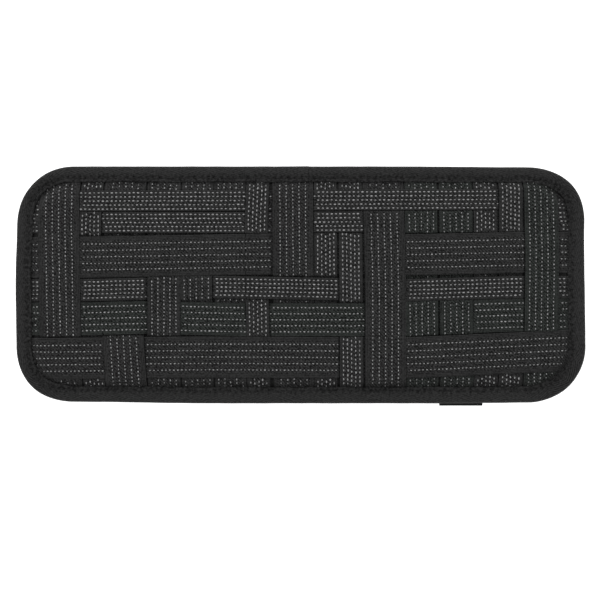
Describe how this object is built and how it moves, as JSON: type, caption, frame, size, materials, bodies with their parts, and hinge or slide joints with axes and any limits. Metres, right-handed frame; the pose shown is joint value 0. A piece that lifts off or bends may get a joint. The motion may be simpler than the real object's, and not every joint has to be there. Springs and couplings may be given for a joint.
{
  "type": "cable organizer pouch",
  "caption": "Flat rounded organizer panel with woven elastic straps for holding cables, a bound edge and a zipped flat pocket in its back.",
  "frame": {"origin": "middle of the bounding box, on the surface that the back lies on", "axes": "+Z out of the strapped face, +X along the long side, +Y towards the edge opposite the label tab"},
  "size_m": [0.347, 0.1458, 0.01],
  "materials": {
    "binding": "woven binding tape, slight sheen",
    "cover_fabric": "plain black lining fabric",
    "foam": "soft closed-cell foam",
    "board": "stiff board",
    "lining_fabric": "thin smooth lining",
    "back_fabric": "coated woven fabric",
    "label": "folded satin tape, blank",
    "zip_tape": "herringbone zip tape",
    "zip_coil": "nylon coil",
    "zip_metal": "black lacquered metal",
    "strap_elastic": "ribbed elastic with light rubber grip dashes"
  },
  "bodies": {
    "organizer": {"binding_tape": "binding", "front_cover": "cover_fabric", "foam_pad": "foam", "stiffener_board": "board", "pocket_lining": "lining_fabric", "back_panel": "back_fabric", "label_tab": "label", "zip_tape_upper": "zip_tape", "zip_tape_lower": "zip_tape", "zip_coil_upper": "zip_coil", "zip_coil_lower": "zip_coil", "zip_end_stops": "zip_metal", "upright_strap_01": "strap_elastic", "upright_strap_02": "strap_elastic", "upright_strap_03": "strap_elastic", "upright_strap_04": "strap_elastic", "upright_strap_05": "strap_elastic", "upright_strap_06": "strap_elastic", "upright_strap_07": "strap_elastic", "upright_strap_08": "strap_elastic", "upright_strap_09": "strap_elastic", "upright_strap_10": "strap_elastic", "upright_strap_11": "strap_elastic", "upright_strap_12": "strap_elastic", "upright_strap_13": "strap_elastic", "upright_strap_14": "strap_elastic", "upright_strap_15": "strap_elastic", "upright_strap_16": "strap_elastic", "cross_strap_1": "strap_elastic", "cross_strap_2": "strap_elastic", "cross_strap_3": "strap_elastic", "cross_strap_4": "strap_elastic", "cross_strap_5": "strap_elastic", "cross_strap_6": "strap_elastic"},
    "slider": {"zip_slider": "zip_metal"},
    "pull": {"zip_pull": "zip_metal"}
  },
  "joints": [
    {"name": "zip_slide", "type": "slide", "parent": "organizer", "child": "slider", "axis": [1, 0, 0], "range_m": [0, 0.228]},
    {"name": "pull_swing", "type": "hinge", "parent": "slider", "child": "pull", "pos_m": [-0.1179, 0.0389, 0.00115], "axis": [0, 1, 0], "range_deg": [0, 165]}
  ]
}
